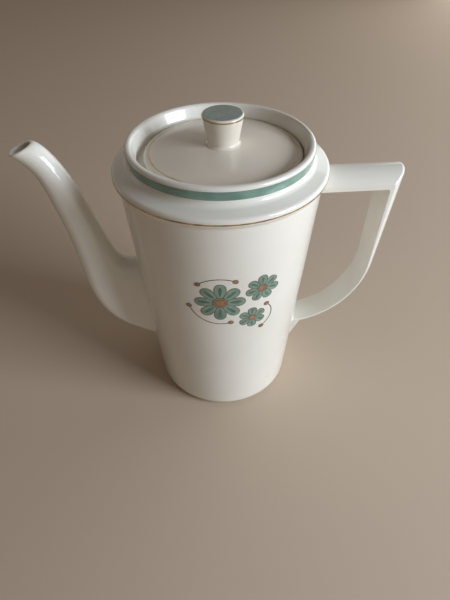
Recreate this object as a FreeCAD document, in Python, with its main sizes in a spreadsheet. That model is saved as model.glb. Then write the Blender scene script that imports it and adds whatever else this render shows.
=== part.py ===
"""Glazed ceramic coffee pot of about one litre, with its loose lid.

Millimetres, +Z up. The origin is on the pot's axis, where its foot stands on the table. The spout points
along -X and the handle along +X. The pot is five castings (body, spout, handle, lid, knob) and the thin
enamel and gold layers that are fired onto them.
"""
import FreeCAD, Part
import math
import os
import re
import Sketcher
from FreeCAD import Vector

# Driving dimensions: name, size in millimetres or degrees, what it measures
DIMENSIONS = (
    ("base_radius", 44.0, "outer wall carried down to the table"),
    ("wall_height", 154.0, "table to the top of the tapered wall"),
    ("wall_top_radius", 55.9, "outer wall under the shoulder"),
    ("wall_thickness", 4.0, "cast wall of the body"),
    ("heel_round", 4.5, "rounding of the heel"),
    ("foot_ring_width", 3.0, "flat of the foot ring"),
    ("foot_recess", 2.5, "hollow under the floor"),
    ("foot_edge_round", 0.8, "rounding of the foot ring's inner edge"),
    ("floor_thickness", 5.0, "floor of the pot"),
    ("floor_round", 8.0, "inside corner at the floor"),
    ("shoulder_overhang", 2.5, "shoulder's edge beyond the wall"),
    ("shoulder_flare", 3.0, "height of the slope under the shoulder's edge"),
    ("shoulder_edge", 3.2, "height of the shoulder's edge"),
    ("shoulder_rise", 2.6, "rise of the shoulder from its edge to the collar"),
    ("shoulder_round", 2.0, "rounding of the shoulder's edge"),
    ("shoulder_cove", 2.0, "hollow rounding where the wall meets the shoulder"),
    ("shoulder_lip_round", 0.4, "rounding of the shoulder's lower edge"),
    ("collar_radius", 49.2, "outside of the collar at its foot"),
    ("collar_height", 9.5, "foot of the collar to the rim"),
    ("collar_flare", 1.1, "outward lean of the collar at the rim"),
    ("collar_wall", 4.6, "collar's wall at the lid"),
    ("collar_cove", 3.0, "hollow rounding at the collar's foot"),
    ("rim_wall", 3.4, "collar's wall at the rim"),
    ("rim_round", 1.6, "rounding of the rim"),
    ("seat_depth", 10.8, "rim down to the ledge that carries the lid"),
    ("seat_wall", 4.5, "straight wall above the ledge"),
    ("ledge_width", 6.6, "ledge that carries the lid"),
    ("ledge_thickness", 3.9, "thickness of that ledge"),
    ("ledge_round", 1.0, "rounding of the ledge's edges"),
    ("ceiling_round", 4.0, "inside corner under the shoulder"),
    ("lid_clearance", 2.3, "room round the lid in its seat, when it is centred"),
    ("lid_side_gap", 0.7, "gap on the handle side, where the lid lies"),
    ("lid_thickness", 4.5, "lid at its edge"),
    ("lid_web", 4.5, "lid at its crown"),
    ("lid_dome", 4.1, "rise of the lid from its edge to the knob"),
    ("lid_round", 1.6, "rounding of the lid's upper edge"),
    ("lid_under_round", 0.8, "rounding of the lid's lower edges"),
    ("skirt_depth", 7.0, "locating skirt below the lid"),
    ("skirt_wall", 3.0, "wall of that skirt"),
    ("knob_height", 15.9, "knob above the lid"),
    ("knob_top_radius", 11.0, "knob at its top"),
    ("knob_foot_radius", 8.4, "knob above its foot"),
    ("knob_cove", 1.2, "hollow rounding at the knob's foot"),
    ("knob_foot_edge", 0.3, "edge of the knob's foot on the lid"),
    ("knob_round", 0.8, "rounding of the knob's top edge"),
    ("layer", 0.15, "enamel and gold layers"),
    ("line_width", 0.7, "gold lines"),
    ("shoulder_line_lift", 0.4, "gold line above the shoulder's lower edge"),
    ("lid_line_inset", 2.95, "middle of the gold line in from the lid's edge"),
    ("knob_line_drop", 0.9, "gold line below the knob's top"),
    ("knob_disc_margin", 0.3, "white margin round the knob's enamel"),
    ("band_foot_margin", 2.7, "white margin below the collar's enamel band"),
    ("band_rim_margin", 2.1, "white margin above it"),
    ("spout_root_height", 66.0, "where the spout's middle leaves the wall"),
    ("spout_lip_drop", 0.45, "middle of the spout's lip below the rim"),
    ("spout_wall", 2.0, "cast wall of the spout"),
    ("spout_fillet", 2.5, "slip fillet round the spout's root"),
    ("spout_lip_round", 0.6, "rounding of the lip"),
    ("port_width", 11.0, "opening from the pot into the spout"),
    ("port_height", 32.0, "height of that opening"),
    ("handle_reach", 37.4, "finger room from the wall to the leg, under the bar"),
    ("handle_width", 22.9, "strap at the bar"),
    ("handle_foot_width", 18.3, "strap at its foot"),
    ("bar_drop", 10.5, "underside of the bar below the top of the wall"),
    ("bar_side", 3.15, "flat side of the bar"),
    ("leg_side", 3.1, "flat side of the leg at its top"),
    ("crown_rise", 6.65, "rise of the strap's outer face from the sides of the bar to its middle"),
    ("leg_lean", 2.5, "degrees that the leg's inner face leans in"),
    ("leg_outer_lean", 5.7, "degrees that the middle of the leg's outer face leans in"),
    ("foot_height", 43.0, "inner face of the handle's foot above the table"),
    ("foot_side", 1.4, "flat side of the handle's foot"),
    ("foot_sink", 6.4, "end of the bend behind the face of the wall"),
    ("corner_round", 1.8, "outer corner between bar and leg"),
    ("inner_corner_round", 1.2, "inner corner between bar and leg"),
    ("strap_round", 0.8, "rounding between the strap's sides and its outer face"),
    ("strap_inner_round", 0.5, "rounding of the strap's inner edges"),
    ("slip_gap", 0.01, "between the wall and what is stuck on it"),
    ("foot_fillet", 1.8, "slip fillet round the handle's foot"),
)

# The spout's sections from its root inside the wall to its lip: share of the rise, distance out from the
# wall at the root, depth and width of the section, and the degrees that its plane is tipped up
SPOUT_SECTIONS = (
    ("root", -0.017, -6.1, 65.0, 20.2, 90.0),
    ("funnel", 0.020, 6.4, 56.0, 19.5, 85.0),
    ("knee", 0.121, 19.9, 41.2, 18.5, 62.5),
    ("bend", 0.253, 25.5, 28.1, 17.5, 38.5),
    ("stem", 0.434, 29.4, 20.9, 16.5, 22.0),
    ("middle", 0.640, 34.4, 18.0, 15.5, 17.8),
    ("throat", 0.822, 40.2, 15.7, 14.6, 22.5),
    ("neck", 0.941, 46.9, 14.4, 13.9, 42.0),
    ("lip", 1.000, 54.3, 13.7, 13.5, 21.0),
)
SECTION_MEASURES = ("share", "out", "depth", "width", "tilt")

# Places worked out from the driving dimensions. Heights on the pot are above the table, heights on the lid
# above its seat and heights on the knob above its foot. Radii are from the piece's own axis.
DERIVED = {
    "wall_slope": "(wall_top_radius - base_radius) / wall_height",
    "shoulder_radius": "wall_top_radius + shoulder_overhang",
    "shoulder_low": "wall_height + shoulder_flare",
    "shoulder_high": "shoulder_low + shoulder_edge",
    "collar_foot": "shoulder_high + shoulder_rise",
    "collar_slope": "collar_flare / collar_height",
    "rim_height": "collar_foot + collar_height",
    "rim_radius": "collar_radius + collar_flare",
    "rim_inner_radius": "rim_radius - rim_wall",
    "seat_height": "rim_height - seat_depth",
    "seat_radius": "collar_radius - collar_wall",
    "throat_radius": "seat_radius - ledge_width",
    "ceiling_height": "seat_height - ledge_thickness",
    "ceiling_radius": "base_radius + wall_slope * ceiling_height - wall_thickness",
    "floor_height": "foot_recess + floor_thickness",
    "floor_radius": "base_radius + wall_slope * floor_height - wall_thickness",
    "foot_inner_radius": "base_radius - heel_round - foot_ring_width",
    "band_low": "band_foot_margin",
    "band_high": "collar_height - band_rim_margin",
    "lid_radius": "seat_radius - lid_clearance",
    "lid_offset": "lid_clearance - lid_side_gap",
    "lid_crown": "lid_thickness + lid_dome",
    "lid_land_radius": "knob_foot_radius + 2 * knob_cove",
    "skirt_radius": "throat_radius - lid_clearance",
    "skirt_inner_radius": "skirt_radius - skirt_wall",
    "dome_centre": "(lid_thickness + lid_crown - (lid_radius^2 - lid_land_radius^2) / lid_dome) / 2",
    "dome_radius": "sqrt(lid_radius^2 + (lid_thickness - dome_centre)^2)",
    "dome_under_radius": "dome_radius - lid_web",
    "lid_line_outer": "lid_radius - lid_line_inset + line_width / 2",
    "lid_line_inner": "lid_line_outer - line_width",
    "knob_cove_top": "knob_foot_edge + knob_cove",
    "knob_slope": "(knob_top_radius - knob_foot_radius) / (knob_height - knob_cove_top)",
    "knob_line_high": "knob_height - knob_line_drop",
    "knob_line_low": "knob_line_high - line_width",
    "knob_disc_radius": "knob_top_radius - knob_round - knob_disc_margin",
    "root_radius": "base_radius + wall_slope * spout_root_height",
    "spout_rise": "rim_height - spout_lip_drop - spout_root_height",
    "bar_thickness": "bar_side + crown_rise",
    "leg_thickness": "leg_side + crown_rise",
    "bar_low": "wall_height - bar_drop",
    "bar_high": "bar_low + bar_thickness",
    "bar_root": "wall_top_radius - wall_thickness",
    "corner_x": "wall_top_radius + handle_reach",
    "outer_corner_x": "corner_x + leg_thickness",
    "foot_thickness": "foot_side + crown_radius - sqrt(crown_radius^2 - handle_foot_width^2 / 4)",
    "foot_low": "foot_height - foot_thickness",
    "bend_x": "base_radius + wall_slope * foot_height - foot_sink",
    "bend_radius": "((corner_x - bend_x) * cos(leg_lean)"
                   " - (bar_low - foot_height) * sin(leg_lean)) / (1 - sin(leg_lean))",
    "bend_z": "foot_height + bend_radius",
    "outer_bend_radius": "((outer_corner_x - bend_x) * cos(leg_outer_lean)"
                         " - (bar_high - foot_low) * sin(leg_outer_lean)) / (1 - sin(leg_outer_lean))",
    "outer_bend_z": "foot_low + outer_bend_radius",
    "strap_taper": "(handle_width - handle_foot_width) / 2 / (bar_high - foot_low)",
    "spare": "foot_thickness / 2",
    "spare_bend_radius": "outer_bend_radius + spare",
    "crown_radius": "(handle_width^2 / 4 + crown_rise^2) / (2 * crown_rise)",
    "crown_half": "(handle_width / 2 + crown_radius) / 2",
    "crown_side": "crown_radius - sqrt(crown_radius^2 - crown_half^2)",
}

# Two places that are closer than this are the same place
NEAR = 0.01
# Largest rounding as a share of the wall that it is on, so that two of them leave a flat between them
WALL_SHARE = 0.47
# The same for the strap's outer and inner edges, as shares of the foot's flat side
OUTER_SHARE = 0.58
INNER_SHARE = 0.37
# Degrees that the crown of the bend is carried on past the end of the strap
BEND_OVERRUN = 10

doc = FreeCAD.newDocument("coffee_pot")
sheet = doc.addObject("Spreadsheet::Sheet", "Dimensions")
cell_names = set()


def fill_sheet():
    """Writes every driving dimension into the sheet, in a named cell of its own."""
    rows = list(DIMENSIONS)
    for section, *sizes in SPOUT_SECTIONS:
        for measure, number in zip(SECTION_MEASURES, sizes):
            rows.append(("spout_%s_%s" % (section, measure), number, "spout at its %s" % section))
    for row, (name, number, note) in enumerate(rows, start=1):
        sheet.set("A%d" % row, note)
        sheet.set("B%d" % row, str(number))
        sheet.setAlias("B%d" % row, name)
        cell_names.add(name)
    doc.recompute()


def formula(text):
    """Spells a formula out in the sheet's cells."""
    def spell(match):
        word = match.group(0)
        if word in DERIVED:
            return "(" + formula(DERIVED[word]) + ")"
        return "Dimensions." + word if word in cell_names else word
    return re.sub(r"[a-z_][a-z_0-9]*", spell, text)


def size(text):
    """The number that a formula comes to."""
    return float(sheet.evalExpression(formula(text)))


def at_most(radius, wall, share=WALL_SHARE):
    """A rounding that is held down to a share of the wall that it is on."""
    return "min(%s; %g * %s)" % (radius, share, wall)


def bind(thing, place, text):
    thing.setExpression(place, formula(text))


def put(thing, across, up):
    """Binds where a piece stands: how far along X, and how high."""
    bind(thing, "Placement.Base.x", across)
    bind(thing, "Placement.Base.z", up)


def new_body(name):
    return doc.addObject("PartDesign::Body", name)


def new_sketch(body, name, plane):
    """An empty sketch on one of the body's own origin planes."""
    sketch = body.newObject("Sketcher::SketchObject", name)
    support = [feature for feature in body.Origin.OriginFeatures if feature.Role == plane]
    sketch.AttachmentSupport = [(support[0], "")]
    sketch.MapMode = "FlatFace"
    return sketch


def hold(sketch, kind, *rest):
    """Adds a constraint whose last value is a formula, and binds it to the sheet."""
    number = sketch.addConstraint(Sketcher.Constraint(kind, *rest[:-1], size(rest[-1])))
    bind(sketch, "Constraints[%d]" % number, rest[-1])


def arc_between(start, end, radius, turn):
    """The short arc that leaves start and turns left (+1) or right (-1) to end, drawn anticlockwise."""
    chord = end - start
    away = math.sqrt(radius ** 2 - (chord.Length / 2) ** 2)
    left = Vector(-chord.y, chord.x, 0).normalize()
    centre = (start + end) * 0.5 + left * turn * away
    first, last = (start, end) if turn > 0 else (end, start)
    angles = [math.atan2(point.y - centre.y, point.x - centre.x) for point in (first, last)]
    return Part.ArcOfCircle(Part.Circle(centre, Vector(0, 0, 1), radius), *angles)


def outline(body, name, plane, corners, arcs=None):
    """A closed outline through corners that are pairs of formulas, every one bound to the sheet.

    An edge is straight unless arcs names the corner that it starts from, with its radius and its turn.
    """
    arcs = arcs or {}
    sketch = new_sketch(body, name, plane)
    points = [Vector(size(across), size(up), 0) for across, up in corners]
    ends = []
    for i, start in enumerate(points):
        end = points[(i + 1) % len(points)]
        if i in arcs:
            radius, turn = arcs[i]
            sketch.addGeometry(arc_between(start, end, size(radius), turn), False)
            ends.append((1, 2) if turn > 0 else (2, 1))
        else:
            sketch.addGeometry(Part.LineSegment(start, end), False)
            ends.append((1, 2))
    for i in range(len(points)):
        after = (i + 1) % len(points)
        sketch.addConstraint(Sketcher.Constraint("Coincident", i, ends[i][1], after, ends[after][0]))
    for i, (across, up) in enumerate(corners):
        hold(sketch, "DistanceX", i, ends[i][0], across)
        hold(sketch, "DistanceY", i, ends[i][0], up)
    for i, (radius, turn) in arcs.items():
        hold(sketch, "Radius", i, radius)
    return sketch


def slot(sketch, length, width):
    """A round-ended slot about the sketch's middle, with its length along the sketch's X."""
    half = "(%s - %s) / 2" % (length, width)
    radius = "(%s) / 2" % width
    along, out = size(half), size(radius)
    sketch.addGeometry(Part.LineSegment(Vector(-along, -out, 0), Vector(along, -out, 0)), False)
    for side, turn in ((1, -math.pi / 2), (-1, math.pi / 2)):
        ring = Part.Circle(Vector(side * along, 0, 0), Vector(0, 0, 1), out)
        sketch.addGeometry(Part.ArcOfCircle(ring, turn, turn + math.pi), False)
        if side > 0:
            sketch.addGeometry(Part.LineSegment(Vector(along, out, 0), Vector(-along, out, 0)), False)
    for i in range(4):
        sketch.addConstraint(Sketcher.Constraint("Coincident", i, 2, (i + 1) % 4, 1))
    for arc, place in ((1, half), (3, "-" + half)):
        for point in (1, 2, 3):
            hold(sketch, "DistanceX", arc, point, place)
        hold(sketch, "DistanceY", arc, 3, "0")
        hold(sketch, "Radius", arc, radius)


def revolve(body, name, corners, arcs=None):
    """Turns an outline of radii and heights about the body's own upright axis."""
    sketch = outline(body, name + "_outline", "YZ_Plane", corners, arcs)
    turn = body.newObject("PartDesign::Revolution", name)
    turn.Profile = sketch
    turn.ReferenceAxis = (sketch, ["V_Axis"])
    turn.Angle = 360
    doc.recompute()
    return turn


def round_edges(body, name, radius, chosen):
    """Rounds those edges of the body so far for which chosen(edge) is true."""
    base = body.Tip
    edges = ["Edge%d" % i for i, edge in enumerate(base.Shape.Edges, start=1)
             if not edge.Degenerated and chosen(edge)]
    fillet = body.newObject("PartDesign::Fillet", name)
    fillet.Base = (base, edges)
    bind(fillet, "Radius", radius)
    doc.recompute()


def round_rings(body, name, radius, *places):
    """Rounds the ring edges that lie at these places, each a radius and a height."""
    wanted = [(size(out), size(up)) for out, up in places]

    def chosen(edge):
        if not isinstance(edge.Curve, Part.Circle):
            return False
        ring = (edge.Curve.Radius, edge.Curve.Center.z)
        return any(math.dist(ring, place) < NEAR for place in wanted)
    round_edges(body, name, radius, chosen)


def middle_of(edge):
    return edge.valueAt((edge.FirstParameter + edge.LastParameter) / 2)


def combine(kind, name, base, tool):
    """A boolean of two shapes of the document."""
    result = doc.addObject("Part::" + kind, name)
    result.Base = base
    result.Tool = tool
    doc.recompute()
    return result


def fillet_shape(name, base, radius_of):
    """Rounds every edge of a combined shape for which radius_of(edge) gives a radius."""
    result = doc.addObject("Part::Fillet", name)
    result.Base = base
    rounded = []
    for i, edge in enumerate(base.Shape.Edges, start=1):
        radius = radius_of(edge)
        if radius:
            rounded.append((i, radius, radius))
    result.Edges = rounded
    doc.recompute()
    return result


def make_wall_form(name, gap):
    """The tapered wall as a solid: it trims what is stuck on the wall, and is no piece by itself."""
    form = doc.addObject("Part::Cone", name)
    bind(form, "Radius1", "base_radius + " + gap)
    bind(form, "Radius2", "wall_top_radius + " + gap)
    bind(form, "Height", "wall_height")
    doc.recompute()
    return form


def on_wall(edge):
    """Whether an edge runs over the tapered wall, other than a ring or the wall's own seam."""
    if edge.Degenerated or isinstance(edge.Curve, (Part.Circle, Part.Line)):
        return False
    for share in (0.2, 0.5, 0.8):
        point = edge.valueAt(edge.FirstParameter + share * (edge.LastParameter - edge.FirstParameter))
        wall = size("base_radius") + size("wall_slope") * point.z
        if abs(math.hypot(point.x, point.y) - wall) > NEAR:
            return False
    return True


def make_pot_body():
    """The vessel: foot ring, tapered wall, overhanging shoulder, collar, ledge for the lid."""
    body = new_body("pot_body")
    revolve(body, "vessel", (
        ("foot_inner_radius", "0"),
        ("base_radius", "0"),
        ("wall_top_radius", "wall_height"),
        ("shoulder_radius", "shoulder_low"),
        ("shoulder_radius", "shoulder_high"),
        ("collar_radius", "collar_foot"),
        ("rim_radius", "rim_height"),
        ("rim_inner_radius", "rim_height"),
        ("seat_radius", "seat_height + seat_wall"),
        ("seat_radius", "seat_height"),
        ("throat_radius", "seat_height"),
        ("throat_radius", "ceiling_height"),
        ("ceiling_radius", "ceiling_height"),
        ("floor_radius", "floor_height"),
        ("0", "floor_height"),
        ("0", "foot_recess"),
        ("foot_inner_radius - foot_recess", "foot_recess"),
    ))
    round_rings(body, "heel", "heel_round", ("base_radius", "0"))
    round_rings(body, "foot_edge", "foot_edge_round", ("foot_inner_radius", "0"))
    round_rings(body, "floor_corner", "floor_round", ("floor_radius", "floor_height"))
    round_rings(body, "ceiling_corner", "ceiling_round", ("ceiling_radius", "ceiling_height"))
    round_rings(body, "under_shoulder", "shoulder_cove", ("wall_top_radius", "wall_height"))
    round_rings(body, "shoulder_lip", "shoulder_lip_round", ("shoulder_radius", "shoulder_low"))
    round_rings(body, "shoulder_top", "shoulder_round", ("shoulder_radius", "shoulder_high"))
    round_rings(body, "collar_base", "collar_cove", ("collar_radius", "collar_foot"))
    round_rings(body, "rim", at_most("rim_round", "rim_wall"),
                ("rim_radius", "rim_height"), ("rim_inner_radius", "rim_height"))
    round_rings(body, "ledge", at_most("ledge_round", "ledge_thickness"),
                ("throat_radius", "seat_height"), ("throat_radius", "ceiling_height"))
    port = new_sketch(body, "port_outline", "YZ_Plane")
    port.AttachmentOffset = FreeCAD.Placement(Vector(0, 0, 0), FreeCAD.Rotation(Vector(0, 0, 1), 90))
    bind(port, "AttachmentOffset.Base.y", "spout_root_height")
    slot(port, "port_height", "port_width")
    before = body.Shape.Volume
    pocket = body.newObject("PartDesign::Pocket", "port")
    pocket.Profile = port
    bind(pocket, "Length", "shoulder_radius")
    doc.recompute()
    if body.Shape.Volume > before - NEAR or body.Shape.CenterOfGravity.x < 0:
        raise RuntimeError("the spout's opening cuts nothing")
    return body


def spout_loft(name, thinner):
    """A smooth loft through the spout's sections, each made thinner by so much all round."""
    body = new_body(name)
    sections = []
    for row in SPOUT_SECTIONS:
        section = row[0]
        cell = "spout_" + section + "_"
        sketch = new_sketch(body, "%s_%s" % (name, section), "XY_Plane")
        sketch.AttachmentOffset = FreeCAD.Placement(Vector(0, 0, 0), FreeCAD.Rotation(Vector(0, -1, 0), 1))
        bind(sketch, "AttachmentOffset.Base.x", "-(root_radius + %sout)" % cell)
        bind(sketch, "AttachmentOffset.Base.z", "spout_root_height + spout_rise * %sshare" % cell)
        bind(sketch, "AttachmentOffset.Rotation.Angle", cell + "tilt")
        slot(sketch, "(%sdepth - 2 * %s)" % (cell, thinner), "(%swidth - 2 * %s)" % (cell, thinner))
        sections.append(sketch)
    loft = body.newObject("PartDesign::AdditiveLoft", name + "_loft")
    loft.Profile = sections[0]
    loft.Sections = sections[1:]
    doc.recompute()
    return body


def make_spout(wall_form):
    """The hollow spout, stuck on the wall with a fillet of slip round its root."""
    skin = spout_loft("spout_skin", "0")
    bore = spout_loft("spout_bore", "spout_wall")
    joined = combine("Fuse", "spout_on_wall", skin, wall_form)

    def root_radius(edge):
        return size("spout_fillet") if on_wall(edge) and middle_of(edge).x < 0 else 0
    slipped = fillet_shape("spout_slipped", joined, root_radius)
    trimmed = combine("Cut", "spout_trimmed", slipped, wall_form)
    hollow = combine("Cut", "spout_hollow", trimmed, bore)
    tilt = math.radians(size("spout_lip_tilt"))
    middle = Vector(-size("root_radius + spout_lip_out"), 0, size("rim_height - spout_lip_drop"))
    upward = Vector(-math.sin(tilt), 0, math.cos(tilt))

    def lip_radius(edge):
        level = max(abs((vertex.Point - middle).dot(upward)) for vertex in edge.Vertexes)
        level = max(level, abs((middle_of(edge) - middle).dot(upward)))
        return size(at_most("spout_lip_round", "spout_wall")) if level < NEAR else 0
    return fillet_shape("spout", hollow, lip_radius)


def cut_through(body, name, sketch, sides):
    """Cuts a sketch's outline right through the body, to both sides of the sketch or to its front."""
    cut = body.newObject("PartDesign::Pocket", name)
    cut.Profile = sketch
    cut.Type = "ThroughAll"
    cut.SideType = "Symmetric" if sides == "Symmetric" else "One side"
    cut.Reversed = sides == "Front"
    doc.recompute()


def make_strap():
    """The strap: a level bar, and a leg that thins and narrows downward and bends in to the wall."""
    body = new_body("handle_strap")
    side = outline(body, "strap_outline", "XZ_Plane", (
        ("bar_root", "bar_low"),
        ("corner_x", "bar_low"),
        ("bend_x + bend_radius * cos(leg_lean)", "bend_z - bend_radius * sin(leg_lean)"),
        ("bend_x", "foot_height"),
        ("bend_x", "foot_low - spare"),
        ("bend_x + spare_bend_radius * cos(leg_outer_lean)",
         "outer_bend_z - spare_bend_radius * sin(leg_outer_lean)"),
        ("outer_corner_x + spare * (1 + sin(leg_outer_lean)) / cos(leg_outer_lean)", "bar_high + spare"),
        ("bar_root", "bar_high + spare"),
    ), {2: ("bend_radius", -1), 4: ("spare_bend_radius", 1)})
    pad = body.newObject("PartDesign::Pad", "strap")
    pad.Profile = side
    pad.SideType = "Symmetric"
    bind(pad, "Length", "2 * crown_half")
    doc.recompute()
    for hand, sign in (("left", "-"), ("right", "")):
        cut_through(body, "taper_" + hand, outline(body, "taper_outline_" + hand, "YZ_Plane", (
            (sign + "(handle_width / 2 + strap_taper * bar_thickness)", "bar_high + bar_thickness"),
            (sign + "(handle_foot_width / 2 - strap_taper * foot_thickness)", "foot_low - foot_thickness"),
            (sign + "handle_width", "foot_low - foot_thickness"),
            (sign + "handle_width", "bar_high + bar_thickness"),
        )), "Symmetric")
    return body


def crown_strap(body):
    """Crowns the strap's outer face: along the bar, up the leg, and round the bend."""
    bar = outline(body, "bar_crown_outline", "YZ_Plane", (
        ("-crown_half", "bar_high - crown_side"),
        ("crown_half", "bar_high - crown_side"),
        ("crown_half", "bar_high + bar_thickness"),
        ("-crown_half", "bar_high + bar_thickness"),
    ), {0: ("crown_radius", -1)})
    cut_through(body, "bar_crown", bar, "Symmetric")
    leg = outline(body, "leg_crown_outline", "XY_Plane", (
        ("outer_bend_radius - crown_side", "-crown_half"),
        ("outer_bend_radius - crown_side", "crown_half"),
        ("outer_bend_radius + bar_thickness", "crown_half"),
        ("outer_bend_radius + bar_thickness", "-crown_half"),
    ), {0: ("crown_radius", 1)})
    leg.AttachmentOffset = FreeCAD.Placement(Vector(0, 0, 0), FreeCAD.Rotation(Vector(0, 1, 0), 1))
    bind(leg, "AttachmentOffset.Base.x", "bend_x")
    bind(leg, "AttachmentOffset.Base.z", "outer_bend_z")
    bind(leg, "AttachmentOffset.Rotation.Angle", "leg_outer_lean")
    cut_through(body, "leg_crown", leg, "Front")
    bend = body.newObject("PartDesign::Groove", "bend_crown")
    bend.Profile = leg
    bend.ReferenceAxis = (leg, ["V_Axis"])
    bind(bend, "Angle", "90 + %d - leg_outer_lean" % BEND_OVERRUN)
    doc.recompute()


def round_strap(body):
    """Rounds the strap: its two corners, then the long edges of its outer and inner faces."""
    bar_low, bar_root, corner_x = size("bar_low"), size("bar_root"), size("corner_x")
    bend_x, bend_z, bend_radius = size("bend_x"), size("bend_z"), size("bend_radius")
    lean = math.radians(size("leg_lean"))
    half_foot = size("handle_foot_width / 2")
    near_inner = size("foot_thickness / 10")

    def across_at(out, up):
        corner = Part.Vertex(size(out), 0, size(up))
        return lambda edge: edge.distToShape(corner)[0] < NEAR

    def depth(point):
        """How far a point lies from the strap's inner face."""
        if point.z < bend_z:
            return math.hypot(point.x - bend_x, point.z - bend_z) - bend_radius
        from_leg = (point.x - corner_x) * math.cos(lean) + (bar_low - point.z) * math.sin(lean)
        return max(point.z - bar_low, from_leg)

    def along_side(edge):
        point = middle_of(edge)
        root = bar_root if point.z > bend_z else bend_x
        return abs(point.y) > half_foot - NEAR and point.x > root + NEAR
    round_edges(body, "corner", "corner_round", across_at("outer_corner_x", "bar_high"))
    round_edges(body, "inner_corner", "inner_corner_round", across_at("corner_x", "bar_low"))
    outer_round = at_most("min(strap_round; corner_round)", "foot_side", OUTER_SHARE)
    inner_round = at_most("strap_inner_round", "foot_side", INNER_SHARE)
    round_edges(body, "outer_edges", outer_round,
                lambda edge: along_side(edge) and depth(middle_of(edge)) > near_inner)
    round_edges(body, "inner_edges", inner_round,
                lambda edge: along_side(edge) and depth(middle_of(edge)) < near_inner)


def make_handle(wall_form):
    """The strap handle, trimmed to the wall and the shoulder, with a fillet of slip round its foot."""
    strap = make_strap()
    crown_strap(strap)
    round_strap(strap)
    joined = combine("Fuse", "handle_on_wall", strap, wall_form)

    def foot_radius(edge):
        at_foot = on_wall(edge) and middle_of(edge).z < size("bend_z")
        return size(at_most("foot_fillet", "foot_thickness")) if at_foot else 0
    slipped = fillet_shape("handle_slipped", joined, foot_radius)
    return combine("Cut", "handle", slipped, make_wall_form("trim_form", "slip_gap"))


def make_lid():
    """The lid: a domed plate that lies on the ledge, with a skirt that keeps it in the throat."""
    body = new_body("lid")
    under_edge = "dome_centre + sqrt(dome_under_radius^2 - skirt_inner_radius^2)"
    revolve(body, "plate", (
        ("0", "lid_crown"),
        ("0", "dome_centre + dome_under_radius"),
        ("skirt_inner_radius", under_edge),
        ("skirt_inner_radius", "-skirt_depth"),
        ("skirt_radius", "-skirt_depth"),
        ("skirt_radius", "0"),
        ("lid_radius", "0"),
        ("lid_radius", "lid_thickness"),
        ("lid_land_radius", "lid_crown"),
    ), {1: ("dome_under_radius", -1), 7: ("dome_radius", 1)})
    round_rings(body, "edge", "lid_round", ("lid_radius", "lid_thickness"))
    round_rings(body, "lower_edges", at_most("lid_under_round", "skirt_wall"), ("lid_radius", "0"),
                ("skirt_radius", "-skirt_depth"), ("skirt_inner_radius", "-skirt_depth"))
    put(body, "lid_offset", "seat_height")
    return body


def make_lid_knob():
    """The knob: an upside-down cone with a flat top, spread a little where it is stuck to the lid."""
    body = new_body("lid_knob")
    revolve(body, "cone", (
        ("0", "0"),
        ("knob_foot_radius + knob_cove", "0"),
        ("knob_foot_radius + knob_cove", "knob_foot_edge"),
        ("knob_foot_radius", "knob_cove_top"),
        ("knob_top_radius", "knob_height"),
        ("0", "knob_height"),
    ), {2: ("knob_cove", -1)})
    round_rings(body, "top_edge", "knob_round", ("knob_top_radius", "knob_height"))
    put(body, "lid_offset", "seat_height + lid_crown")
    return body


def make_layer(name, low, high):
    """A fired-on ring: its inner face runs from low to high, each a radius and a height."""
    body = new_body(name)
    outer_low = (low[0] + " + layer", low[1])
    outer_high = (high[0] + " + layer", high[1])
    revolve(body, name + "_ring", (low, outer_low, outer_high, high))
    return body


def make_collar_band():
    radius = "collar_radius + collar_slope * "
    body = make_layer("collar_band", (radius + "band_low", "band_low"), (radius + "band_high", "band_high"))
    put(body, "0", "collar_foot")
    return body


def make_shoulder_line():
    body = make_layer("shoulder_line", ("shoulder_radius", "0"), ("shoulder_radius", "line_width"))
    put(body, "0", "shoulder_low + shoulder_line_lift")
    return body


def make_knob_line():
    radius = "knob_foot_radius + knob_slope * "
    body = make_layer("knob_line", (radius + "(knob_line_low - knob_cove_top)", "knob_line_low"),
                      (radius + "(knob_line_high - knob_cove_top)", "knob_line_high"))
    put(body, "lid_offset", "seat_height + lid_crown")
    return body


def make_lid_line():
    """The gold line that lies on the lid's dome, near its edge."""
    body = new_body("lid_line")
    inner = "dome_centre + sqrt(dome_radius^2 - lid_line_inner^2)"
    outer = "dome_centre + sqrt(dome_radius^2 - lid_line_outer^2)"
    revolve(body, "lid_line_ring", (
        ("lid_line_inner", inner),
        ("lid_line_outer", outer),
        ("lid_line_outer", outer + " + layer"),
        ("lid_line_inner", inner + " + layer"),
    ))
    put(body, "lid_offset", "seat_height")
    return body


def make_knob_disc():
    """The enamel on the knob's flat top."""
    disc = doc.addObject("Part::Cylinder", "knob_disc")
    bind(disc, "Radius", "knob_disc_radius")
    bind(disc, "Height", "layer")
    put(disc, "lid_offset", "seat_height + lid_crown + knob_height")
    return disc


def check(pieces):
    """Stops before anything is written if a feature failed or a piece isn't one sound solid."""
    for thing in doc.Objects:
        if "Invalid" in thing.State or "Error" in thing.State:
            raise RuntimeError("%s failed" % thing.Label)
    for piece in pieces:
        if piece.Shape.isNull() or not piece.Shape.isValid() or len(piece.Shape.Solids) != 1:
            raise RuntimeError("%s isn't one sound solid" % piece.Label)


def main():
    fill_sheet()
    wall_form = make_wall_form("wall_form", "0")
    pieces = [make_pot_body(), make_spout(wall_form), make_handle(wall_form), make_lid(), make_lid_knob(),
              make_collar_band(), make_shoulder_line(), make_lid_line(), make_knob_line(), make_knob_disc()]
    doc.recompute()
    check(pieces)
    os.makedirs("parts", exist_ok=True)
    for piece in pieces:
        piece.Shape.exportStep("parts/%s.step" % piece.Label)
        print("%-14s %10.1f mm3" % (piece.Label, piece.Shape.Volume))


main()
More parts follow.
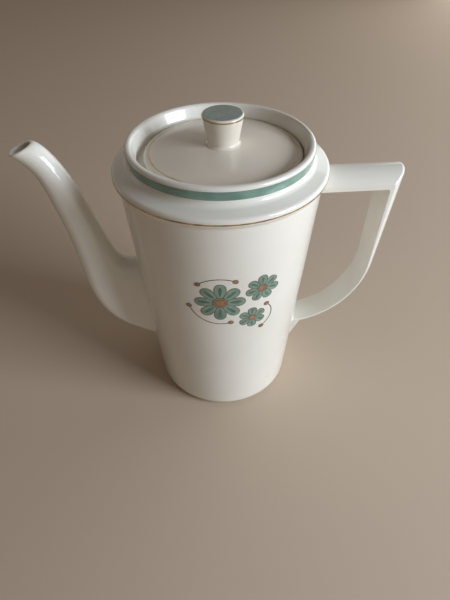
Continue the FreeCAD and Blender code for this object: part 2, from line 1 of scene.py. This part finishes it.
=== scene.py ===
# %% [markdown]
# # A glazed coffee pot
# The pot is five ceramic castings with thin layers of enamel and gold fired onto them. The imported solids
# already have the right shape, with true normals, so they stay and get their finishes here. What the solids
# don't hold is made in this file: a tongue of slip below the handle, the painted flowers on the front, the
# floor, the light and the camera. The solids are loaded first.

# %% Load the solids
import math

import bpy
from mathutils import Matrix, Vector


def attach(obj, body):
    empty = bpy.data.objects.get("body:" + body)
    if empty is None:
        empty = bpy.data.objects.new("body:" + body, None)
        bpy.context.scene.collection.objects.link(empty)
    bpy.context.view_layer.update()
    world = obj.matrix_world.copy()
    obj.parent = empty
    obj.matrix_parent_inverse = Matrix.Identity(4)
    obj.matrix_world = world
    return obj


MM = 0.001
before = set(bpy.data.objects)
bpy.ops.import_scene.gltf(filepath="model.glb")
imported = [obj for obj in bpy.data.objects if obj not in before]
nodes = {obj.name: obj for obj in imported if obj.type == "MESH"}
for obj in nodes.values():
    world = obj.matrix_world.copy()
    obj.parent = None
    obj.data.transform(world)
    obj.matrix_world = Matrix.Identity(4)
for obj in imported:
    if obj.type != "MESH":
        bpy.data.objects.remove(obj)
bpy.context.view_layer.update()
bpy.ops.object.select_all(action="DESELECT")
print("loaded", sorted(nodes))

# %% [markdown]
# ## Small helpers for materials
# A material is a handful of nodes. Colours are written as the hex values that a paint program shows, and
# one function turns them to the linear values that shaders need. Another adds a node, sets it up and links
# it. Pattern sizes are written in millimetres: a noise texture's scale is one over the size of its spots.

# %% Colour, node and pattern helpers
def linear(hex_colour):
    """Linear red, green, blue and alpha of an sRGB hex colour."""
    channels = [int(hex_colour[i:i + 2], 16) / 255 for i in (1, 3, 5)]
    return (*[c / 12.92 if c <= 0.04045 else ((c + 0.055) / 1.055) ** 2.4 for c in channels], 1)


def add_node(owner, kind, values=None, links=None, **settings):
    """Adds a node to a material or world: its options, its sockets' values, and where sockets come from."""
    node = owner.node_tree.nodes.new(kind)
    for name, setting in settings.items():
        setattr(node, name, setting)
    for socket, value in (values or {}).items():
        node.inputs[socket].default_value = value
    for socket, source in (links or {}).items():
        owner.node_tree.links.new(source, node.inputs[socket])
    return node


def new_material(name, **sockets):
    """A principled material, with the sockets that are the same all over its surface."""
    material = bpy.data.materials.new(name)
    material.use_nodes = True
    shader = material.node_tree.nodes["Principled BSDF"]
    for socket, value in sockets.items():
        shader.inputs[socket.replace("_", " ").title().replace("Ior", "IOR")].default_value = value
    return material, shader


def spots(size_mm):
    """Noise scale that gives spots about this many millimetres across."""
    return 1 / (size_mm * MM)


def set_ramp(ramp, *stops):
    """Sets a colour ramp's two stops, each a position and a hex colour."""
    for element, (position, colour) in zip(ramp.color_ramp.elements, stops):
        element.position = position
        element.color = linear(colour)


print("helpers ready")

# %% [markdown]
# ## The glaze
# Cream earthenware under a clear glaze: a soft, slightly warm white body seen through a smooth glassy coat.
# The eye gets two reflections from it, a broad soft one from the body and a sharp one from the coat. Glaze
# is never dead flat, so a very low wave about 9 mm long bends the sharp reflection. The colour drifts a
# little over the pot where the glaze lies thicker. The foot ring is wiped bare before firing, so close to
# the table the same material turns to dry biscuit. The lid's glaze is a little more ivory.

# %% Cream and ivory earthenware glaze
BARE_BELOW = 0.3 * MM
GLAZED_ABOVE = 0.6 * MM
BISCUIT = "#C9BDA6"


def make_glaze(name, thick, thin):
    material, shader = new_material(name, ior=1.5, specular_ior_level=0.3, coat_weight=0.5,
                                    coat_roughness=0.03, coat_ior=1.5)
    place = add_node(material, "ShaderNodeTexCoord").outputs["Object"]
    drift = add_node(material, "ShaderNodeTexNoise", {"Scale": spots(45), "Detail": 3}, {"Vector": place})
    cream = add_node(material, "ShaderNodeValToRGB", links={"Fac": drift.outputs["Fac"]})
    set_ramp(cream, (0.35, thick), (0.65, thin))
    height = add_node(material, "ShaderNodeSeparateXYZ", links={"Vector": place}).outputs["Z"]
    bare = add_node(material, "ShaderNodeMapRange", {"From Min": GLAZED_ABOVE, "From Max": BARE_BELOW},
                    {"Value": height})
    biscuit = add_node(material, "ShaderNodeMixRGB", {"Color2": linear(BISCUIT)},
                       {"Fac": bare.outputs["Result"], "Color1": cream.outputs["Color"]})
    sheen = add_node(material, "ShaderNodeTexNoise", {"Scale": spots(12), "Detail": 2}, {"Vector": place})
    rough = add_node(material, "ShaderNodeMapRange", {"To Min": 0.14, "To Max": 0.26},
                     {"Value": sheen.outputs["Fac"]})
    wave = add_node(material, "ShaderNodeTexNoise", {"Scale": spots(9), "Detail": 1}, {"Vector": place})
    bump = add_node(material, "ShaderNodeBump", {"Strength": 0.35, "Distance": 0.05 * MM},
                    {"Height": wave.outputs["Fac"]})
    links = material.node_tree.links
    links.new(biscuit.outputs["Color"], shader.inputs["Base Color"])
    links.new(rough.outputs["Result"], shader.inputs["Roughness"])
    links.new(bump.outputs["Normal"], shader.inputs["Normal"])
    links.new(bump.outputs["Normal"], shader.inputs["Coat Normal"])
    return material


glaze = make_glaze("cream_earthenware_glaze", thick="#EAE8DE", thin="#F0EEE5")
lid_glaze = make_glaze("ivory_earthenware_glaze", thick="#E4DCCD", thin="#E9E2D4")
print("made", glaze.name, lid_glaze.name)

# %% [markdown]
# ## The enamels
# The band round the collar, the disc on the knob and the flowers are coloured enamel, brushed on and fired.
# Brushed enamel is a little uneven: paler where the brush ran thin and darker where it pooled. Two noises
# do that, a broad one for the pooling and one that is stretched out level for the brush. All the enamels
# are glossy like the glaze, and the finer the brush, the finer their grain.

# %% Sage and slate enamel
LEVEL_STROKES = (1, 1, 5)
BRUSH_SHARE = 0.5


def make_enamel(name, thin, full, pool_mm, brush_mm):
    material, shader = new_material(name, ior=1.5, coat_weight=0.5, coat_roughness=0.05, coat_ior=1.5)
    place = add_node(material, "ShaderNodeTexCoord").outputs["Object"]
    pool = add_node(material, "ShaderNodeTexNoise", {"Scale": spots(pool_mm), "Detail": 2}, {"Vector": place})
    flat = add_node(material, "ShaderNodeMapping", {"Scale": LEVEL_STROKES}, {"Vector": place})
    brush = add_node(material, "ShaderNodeTexNoise", {"Scale": spots(brush_mm), "Detail": 3},
                     {"Vector": flat.outputs["Vector"]})
    uneven = add_node(material, "ShaderNodeMath", {1: BRUSH_SHARE}, operation="MULTIPLY_ADD",
                      links={0: brush.outputs["Fac"], 2: pool.outputs["Fac"]})
    colour = add_node(material, "ShaderNodeValToRGB", links={"Fac": uneven.outputs["Value"]})
    set_ramp(colour, (0.55, thin), (0.95, full))
    rough = add_node(material, "ShaderNodeMapRange", {"To Min": 0.16, "To Max": 0.3},
                     {"Value": brush.outputs["Fac"]})
    bump = add_node(material, "ShaderNodeBump", {"Strength": 0.3, "Distance": 0.03 * MM},
                    {"Height": uneven.outputs["Value"]})
    links = material.node_tree.links
    links.new(colour.outputs["Color"], shader.inputs["Base Color"])
    links.new(rough.outputs["Result"], shader.inputs["Roughness"])
    links.new(bump.outputs["Normal"], shader.inputs["Normal"])
    return material


sage = make_enamel("sage_enamel", thin="#82A294", full="#65887B", pool_mm=14, brush_mm=4)
slate = make_enamel("slate_enamel", thin="#788B85", full="#647872", pool_mm=9, brush_mm=2.5)
print("made", sage.name, slate.name)

# %% [markdown]
# ## The gold
# The lines are liquid gold, brushed on a wheel and fired at a low heat. It is a film of true metal, so it
# takes its colour from what it reflects: bright toward the window and brown where it faces the dark. Use
# rubs it thin in places, and there the film turns browner and duller. The lid's line is worn so far that
# only a pale stain is left of it, so it is hardly metallic.

# %% Fired gold and worn gold
def make_gold(name, bright, rubbed, metal):
    material, shader = new_material(name, metallic=metal)
    place = add_node(material, "ShaderNodeTexCoord").outputs["Object"]
    rub = add_node(material, "ShaderNodeTexNoise", {"Scale": spots(5), "Detail": 4}, {"Vector": place})
    colour = add_node(material, "ShaderNodeValToRGB", links={"Fac": rub.outputs["Fac"]})
    set_ramp(colour, (0.4, bright), (0.7, rubbed))
    rough = add_node(material, "ShaderNodeMapRange", {"To Min": 0.18, "To Max": 0.42},
                     {"Value": rub.outputs["Fac"]})
    links = material.node_tree.links
    links.new(colour.outputs["Color"], shader.inputs["Base Color"])
    links.new(rough.outputs["Result"], shader.inputs["Roughness"])
    return material


gold = make_gold("fired_gold", bright="#D6BA88", rubbed="#987E5A", metal=1.0)
worn_gold = make_gold("worn_gold", bright="#DED1B4", rubbed="#CDBA97", metal=0.1)
print("made", gold.name, worn_gold.name)

# %% [markdown]
# ## Finishes on the solids
# Each solid has one material slot. Clearing it and putting the new material in its place leaves the mesh as
# it is.

# %% Give every solid its finish
FINISHES = {
    glaze: ("pot_body", "spout", "handle"),
    lid_glaze: ("lid", "lid_knob"),
    sage: ("collar_band",),
    slate: ("knob_disc",),
    gold: ("shoulder_line", "knob_line"),
    worn_gold: ("lid_line",),
}
for finish, names in FINISHES.items():
    for name in names:
        nodes[name].data.materials.clear()
        nodes[name].data.materials.append(finish)
    print(finish.name, "on", ", ".join(names))

# %% [markdown]
# ## The slip under the handle's foot
# The handle is stuck on with slip, which is liquid clay. Below its foot a tongue of slip is left, which
# runs out down the wall. To end flush all along, the tongue has to be as round as the wall. So its side
# view, a wedge, is drawn as a flat upright plane and spun round the pot's axis, through the width of the
# strap. Its back lies inside the wall and its top inside the strap. Then its lower end is drawn in, and its
# two long edges are rounded. Spin turns clockwise about its axis, so the spun piece is turned back by half.

# %% Side view of the slip
UPRIGHT = math.pi / 2
WALL_FOOT = 44 * MM
WALL_SLOPE = 0.0773
SLIP_DIP = 0.15 * MM
SLIP_LOW = 17 * MM
SLIP_TALL = 25 * MM
SLIP_REACH = 6.6 * MM
SLIP_RISE = 1 * MM
SLIP_SINK = 3 * MM
wall_low = WALL_FOOT - SLIP_DIP + WALL_SLOPE * SLIP_LOW
wall_high = wall_low + WALL_SLOPE * SLIP_TALL
slip_middle = SLIP_LOW + SLIP_TALL / 2


def select_vertices(piece, wanted):
    """Goes into edit mode with those vertices selected whose place passes the test."""
    bpy.ops.object.mode_set(mode="EDIT")
    bpy.ops.mesh.select_all(action="DESELECT")
    bpy.ops.object.mode_set(mode="OBJECT")
    for vertex in piece.data.vertices:
        vertex.select = wanted(vertex.co)
    bpy.ops.object.mode_set(mode="EDIT")


bpy.ops.mesh.primitive_plane_add(size=1, rotation=(UPRIGHT, 0, 0))
slip = bpy.context.object
slip.name = "handle_slip"
slip.scale = (SLIP_SINK, SLIP_TALL, 1)
slip.location = (wall_low - SLIP_SINK / 2, 0, slip_middle)
bpy.ops.object.transform_apply()
select_vertices(slip, lambda place: place.z > slip_middle)
bpy.ops.transform.translate(value=(wall_high - wall_low, 0, 0))
select_vertices(slip, lambda place: place.x > wall_high - SLIP_SINK / 2)
bpy.ops.transform.translate(value=(SLIP_REACH, 0, SLIP_RISE))
bpy.ops.object.mode_set(mode="OBJECT")
print("side view drawn with", len(slip.data.vertices), "corners")

# %% Spin and narrow the slip
SLIP_HALF_WIDTH = 8.6 * MM
SLIP_STEPS = 12
TONGUE_SHARE = 0.4
half_turn = math.asin(SLIP_HALF_WIDTH / wall_high)
select_vertices(slip, lambda place: True)
bpy.ops.mesh.spin(steps=SLIP_STEPS, angle=2 * half_turn, center=(0, 0, 0), axis=(0, 0, 1))
bpy.ops.object.mode_set(mode="OBJECT")
slip.rotation_euler.z = half_turn
bpy.ops.object.transform_apply()
select_vertices(slip, lambda place: place.z < slip_middle)
bpy.ops.transform.resize(value=(1, TONGUE_SHARE, 1), center_override=(0, 0, 0))
bpy.ops.object.mode_set(mode="OBJECT")
print("slip spun through", round(math.degrees(2 * half_turn), 1), "degrees")

# %% Round the slip's long edges
SLIP_ROUND = 2.9 * MM
ROUND_STEPS = 6
NEAR_END = 0.975
MERGE = 0.01 * MM
SMOOTH_BELOW = math.radians(40)


def on_long_edge(place):
    """Whether a point lies at an outer end of the spun wedge, which is narrower low down."""
    share = 1 if place.z > slip_middle else TONGUE_SHARE
    wall = wall_low + WALL_SLOPE * (place.z - SLIP_LOW)
    return abs(place.y) > NEAR_END * share * wall * math.sin(half_turn)


select_vertices(slip, on_long_edge)
bpy.ops.mesh.bevel(offset=SLIP_ROUND, segments=ROUND_STEPS, affect="EDGES")
bpy.ops.mesh.select_all(action="SELECT")
bpy.ops.mesh.remove_doubles(threshold=MERGE)
bpy.ops.mesh.normals_make_consistent(inside=False)
bpy.ops.object.mode_set(mode="OBJECT")
bpy.ops.object.shade_smooth_by_angle(angle=SMOOTH_BELOW)
slip.data.materials.append(glaze)
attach(slip, "pot")
print("slip has", len(slip.data.polygons), "faces")

# %% [markdown]
# ## The painted flowers: how paint is made here
# The front of the pot is painted with three plain star flowers, a few thin curved lines and some dots.
# Paint could be drawn in the glaze's own material, but then its edges are only as sharp as the pixels of a
# texture. Here each colour is a thin sheet of its own. It is drawn flat in an upright plane in front
# of the pot, as a transfer is printed on paper. Then a Shrinkwrap modifier presses it back onto the wall,
# and a Solidify modifier gives it the thickness of a coat of paint. Colours that lie over each other are on
# separate coats.

# %% Drawing plane and paint helpers
DESIGN_X = 2.5 * MM
DESIGN_Z = 100.5 * MM
DRAWING_Y = -70 * MM
COAT = 0.05 * MM
FIRST_LIFT = 0.2


def drawn_at(across, up):
    """A point of the drawing plane, from millimetres across and up from the design's middle."""
    return Vector((DESIGN_X + across * MM, DRAWING_Y, DESIGN_Z + up * MM))


def use_modifier(piece, kind, **settings):
    """Adds a modifier with its settings and applies it."""
    modifier = piece.modifiers.new(kind.lower(), kind)
    for name, setting in settings.items():
        setattr(modifier, name, setting)
    bpy.context.view_layer.objects.active = piece
    bpy.ops.object.modifier_apply(modifier=modifier.name)


def paint(name, drawings, finish, coat):
    """Joins drawings of one colour and presses them on the wall, over so many coats of other colours."""
    bpy.ops.object.select_all(action="DESELECT")
    for drawing in drawings:
        drawing.select_set(True)
    bpy.context.view_layer.objects.active = drawings[0]
    bpy.ops.object.join()
    piece = bpy.context.object
    piece.name = name
    use_modifier(piece, "SHRINKWRAP", target=nodes["pot_body"], wrap_method="PROJECT",
                 wrap_mode="ABOVE_SURFACE", use_project_y=True, offset=(coat + FIRST_LIFT) * COAT)
    use_modifier(piece, "SOLIDIFY", thickness=COAT, offset=1)
    bpy.ops.object.shade_smooth_by_angle(angle=SMOOTH_BELOW)
    piece.data.materials.append(finish)
    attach(piece, "pot")
    print(name, "has", len(piece.data.polygons), "faces")


leaf_green = make_enamel("light_green_paint", thin="#8CA696", full="#6E897C", pool_mm=6, brush_mm=1.5)
vein_green = make_enamel("dark_green_paint", thin="#5F7F70", full="#4A675A", pool_mm=5, brush_mm=1.2)
umber = make_enamel("umber_paint", thin="#7A6656", full="#57483C", pool_mm=4, brush_mm=1)
ochre = make_enamel("ochre_paint", thin="#A98863", full="#87694B", pool_mm=4, brush_mm=1)
print("paints mixed")

# %% [markdown]
# ## The painted flowers: discs, petals and lines
# A brush leaves three marks here. A dot or a flower's middle is a filled circle. A petal is a filled circle
# that is stretched, tapered toward its foot with a Simple Deform modifier and moved out, and Spin copies it
# round the flower. Both are subdivided, because only a fine sheet can follow the round wall. A line is a
# small square whose leading edge is spun along an arc, in steps short enough to follow the wall. Spin turns
# clockwise about its axis, so an axis that points away from the viewer makes the line run anticlockwise.

# %% Disc, petals and line
DISC_POINTS = 24
PETAL_POINTS = 20
PETAL_TAPER = 0.7
LINE_STEP = 6
ANTICLOCKWISE = (0, 1, 0)


def add_disc(middle, radius):
    """A filled circle round a middle."""
    bpy.ops.mesh.primitive_circle_add(vertices=DISC_POINTS, radius=radius * MM, fill_type="TRIFAN",
                                      location=drawn_at(*middle), rotation=(UPRIGHT, 0, 0))
    bpy.ops.object.transform_apply()
    bpy.ops.object.mode_set(mode="EDIT")
    bpy.ops.mesh.subdivide()
    bpy.ops.object.mode_set(mode="OBJECT")
    return bpy.context.object


def add_petals(middle, count, foot, tip, width):
    """Petals round a middle, from one that reaches from its foot straight up to its tip."""
    bpy.ops.mesh.primitive_circle_add(vertices=PETAL_POINTS, radius=MM / 2, fill_type="TRIFAN",
                                      rotation=(UPRIGHT, 0, 0))
    petals = bpy.context.object
    petals.scale = (width, tip - foot, 1)
    bpy.ops.object.transform_apply()
    use_modifier(petals, "SIMPLE_DEFORM", deform_method="TAPER", deform_axis="Z", factor=PETAL_TAPER)
    bpy.ops.object.mode_set(mode="EDIT")
    bpy.ops.mesh.select_all(action="SELECT")
    bpy.ops.mesh.subdivide()
    bpy.ops.transform.translate(value=drawn_at(middle[0], middle[1] + (foot + tip) / 2))
    bpy.ops.mesh.spin(steps=count - 1, dupli=True, angle=math.tau * (count - 1) / count,
                      center=drawn_at(*middle), axis=ANTICLOCKWISE)
    bpy.ops.object.mode_set(mode="OBJECT")
    return petals


def add_line(middle, radius, start, sweep, width):
    """A thin line along an arc, from an angle and through so many degrees anticlockwise."""
    angle = math.radians(start)
    along = Vector((-math.sin(angle), 0, math.cos(angle)))
    begin = drawn_at(middle[0] + radius * math.cos(angle), middle[1] + radius * math.sin(angle))
    bpy.ops.mesh.primitive_plane_add(size=width * MM, location=begin, rotation=(UPRIGHT, -angle, 0))
    bpy.ops.object.transform_apply()
    line = bpy.context.object
    select_vertices(line, lambda place: (place - begin).dot(along) > 0)
    bpy.ops.mesh.spin(steps=math.ceil(sweep / LINE_STEP), angle=math.radians(sweep), center=drawn_at(*middle),
                      axis=ANTICLOCKWISE)
    bpy.ops.object.mode_set(mode="OBJECT")
    return line


print("brushes ready")

# %% [markdown]
# ## The painted flowers: the design
# The three flowers differ in size and in their number of petals. A petal is as wide as its neighbours leave
# room for, with a dark edge, a pale body and a dark vein, and the flower's middle is a disc with a ring of
# seeds. The parts of a flower are shares of its radius, and only the dark edge is as wide on each. Lines
# run along parts of circles outside two of the flowers, with a dot at each end. Sizes are in millimetres
# and angles in degrees.

# %% Petals, veins and middles
LEFT_FLOWER = (-7, 3)
UPPER_FLOWER = (16, 10)
LOWER_FLOWER = (11, -12)
FLOWERS = ((LEFT_FLOWER, 14, 8), (UPPER_FLOWER, 9.5, 7), (LOWER_FLOWER, 8, 6))
EDGE = 0.35
PETAL_FOOT = 0.2
PETAL_WIDTH = 1.12
VEIN_FOOT = 0.34
VEIN_TIP = 0.84
VEIN_WIDTH = 0.13
MIDDLE = 0.29
SEED_FOOT = 0.15
SEED_TIP = 0.21
SEED_WIDTH = 0.045
SEEDS_PER_PETAL = 2
edges, petals, veins, middles, rings, seeds = [], [], [], [], [], []
for middle, radius, count in FLOWERS:
    width = PETAL_WIDTH * radius * math.sin(math.pi / count)
    edges.append(add_petals(middle, count, PETAL_FOOT * radius - EDGE, radius, width + 2 * EDGE))
    petals.append(add_petals(middle, count, PETAL_FOOT * radius, radius - EDGE, width))
    veins.append(add_petals(middle, count, VEIN_FOOT * radius, VEIN_TIP * radius, VEIN_WIDTH * radius))
    rings.append(add_disc(middle, MIDDLE * radius))
    middles.append(add_disc(middle, MIDDLE * radius - EDGE))
    seeds.append(add_petals(middle, SEEDS_PER_PETAL * count, SEED_FOOT * radius, SEED_TIP * radius,
                            SEED_WIDTH * radius))
print("drew", len(petals), "flowers")

# %% Lines and dots
LINES = ((LEFT_FLOWER, 17.5, 195, 95), (LEFT_FLOWER, 17.5, 62, 70), (LOWER_FLOWER, 11.5, -60, 105))
LINE_WIDTH = 0.55
DOT = 1.5
lines = []
for middle, radius, start, sweep in LINES:
    lines.append(add_line(middle, radius, start, sweep, LINE_WIDTH))
    for angle in (math.radians(start), math.radians(start + sweep)):
        end = (middle[0] + radius * math.cos(angle), middle[1] + radius * math.sin(angle))
        rings.append(add_disc(end, DOT))
        middles.append(add_disc(end, DOT - EDGE))
print("drew", len(lines), "lines")

# %% Press the paint on
paint("petal_edges", edges + lines, umber, coat=0)
paint("petals", petals, leaf_green, coat=1)
paint("petal_veins", veins, vein_green, coat=2)
paint("flower_rings", rings, umber, coat=3)
paint("flower_middles", middles, ochre, coat=4)
paint("flower_seeds", seeds, umber, coat=5)

# %% [markdown]
# ## The floor, the light and the camera
# The floor is one large sheet of pale matt paper, so its bounce fills the pot's shaded side as a table
# does. A single large soft lamp stands to the right and in front, like a window, and a broad dim one stands
# behind it on the right where a pale wall would throw light back. The world is a pale room: pale where the
# camera or a reflection sees it, and dimmer as light, so that the lamps still shape the pot. The camera
# looks down on the pot from in front at arm's length, with a lens a little wider than normal.

# %% Floor
FLOOR_SIZE = 4
bpy.ops.mesh.primitive_plane_add(size=FLOOR_SIZE)
floor = bpy.context.object
floor.name = "floor"
paper, paper_shader = new_material("matt_studio_paper", roughness=0.8)
paper_shader.inputs["Base Color"].default_value = linear("#C8B6A1")
floor.data.materials.append(paper)
print("floor laid")

# %% Lamps
LOOK_AT = Vector((0, 0, 0.1))


def add_lamp(name, place, size, watts, colour):
    """A rectangular lamp that faces the pot, with its place and size in metres."""
    bpy.ops.object.light_add(type="AREA", location=place)
    lamp = bpy.context.object
    lamp.name = name
    lamp.data.shape = "RECTANGLE"
    lamp.data.size, lamp.data.size_y = size
    lamp.data.energy = watts
    lamp.data.color = linear(colour)[:3]
    lamp.rotation_euler = (LOOK_AT - lamp.location).to_track_quat("-Z", "Y").to_euler()
    print("lit", name)


add_lamp("window", place=(0.915, -0.529, 0.465), size=(0.55, 0.55), watts=13.2, colour="#EAF3FF")
add_lamp("pale_wall", place=(0.9, 0.6, 0.3), size=(1.2, 0.8), watts=4, colour="#FFFFFF")

# %% Room
ROOM_AS_LIGHT = "#685F57"
ROOM_AS_SEEN = "#B4AEA6"
world = bpy.data.worlds.new("pale_room")
bpy.context.scene.world = world
world.use_nodes = True
ray = add_node(world, "ShaderNodeLightPath").outputs
shiny = add_node(world, "ShaderNodeMath", links={0: ray["Is Glossy Ray"], 1: ray["Is Transmission Ray"]},
                 operation="MAXIMUM")
seen = add_node(world, "ShaderNodeMath", links={0: ray["Is Camera Ray"], 1: shiny.outputs["Value"]},
                operation="MAXIMUM")
room = add_node(world, "ShaderNodeMixRGB", {"Color1": linear(ROOM_AS_LIGHT), "Color2": linear(ROOM_AS_SEEN)},
                {"Fac": seen.outputs["Value"]})
world.node_tree.links.new(room.outputs["Color"], world.node_tree.nodes["Background"].inputs["Color"])
print("made", world.name)

# %% Camera
CAMERA_PLACE = (-0.0157, -0.2488, 0.2890)
CAMERA_HEADING = math.radians(-4)
CAMERA_DOWN = 0.74885
CAMERA_ROLL = -0.0104
LENS_MM = 30.11
SENSOR_MM = 36
camera_data = bpy.data.cameras.new("camera")
camera_data.lens = LENS_MM
camera_data.sensor_width = SENSOR_MM
camera = bpy.data.objects.new("camera", camera_data)
bpy.context.scene.collection.objects.link(camera)
heading = Matrix.Rotation(CAMERA_HEADING, 4, "Z")
pitch = Matrix.Rotation(UPRIGHT - CAMERA_DOWN, 4, "X")
roll = Matrix.Rotation(CAMERA_ROLL, 4, "Z")
camera.matrix_world = Matrix.Translation(CAMERA_PLACE) @ heading @ pitch @ roll
bpy.context.scene.camera = camera
bpy.context.scene.view_settings.view_transform = "Standard"
print("camera set")
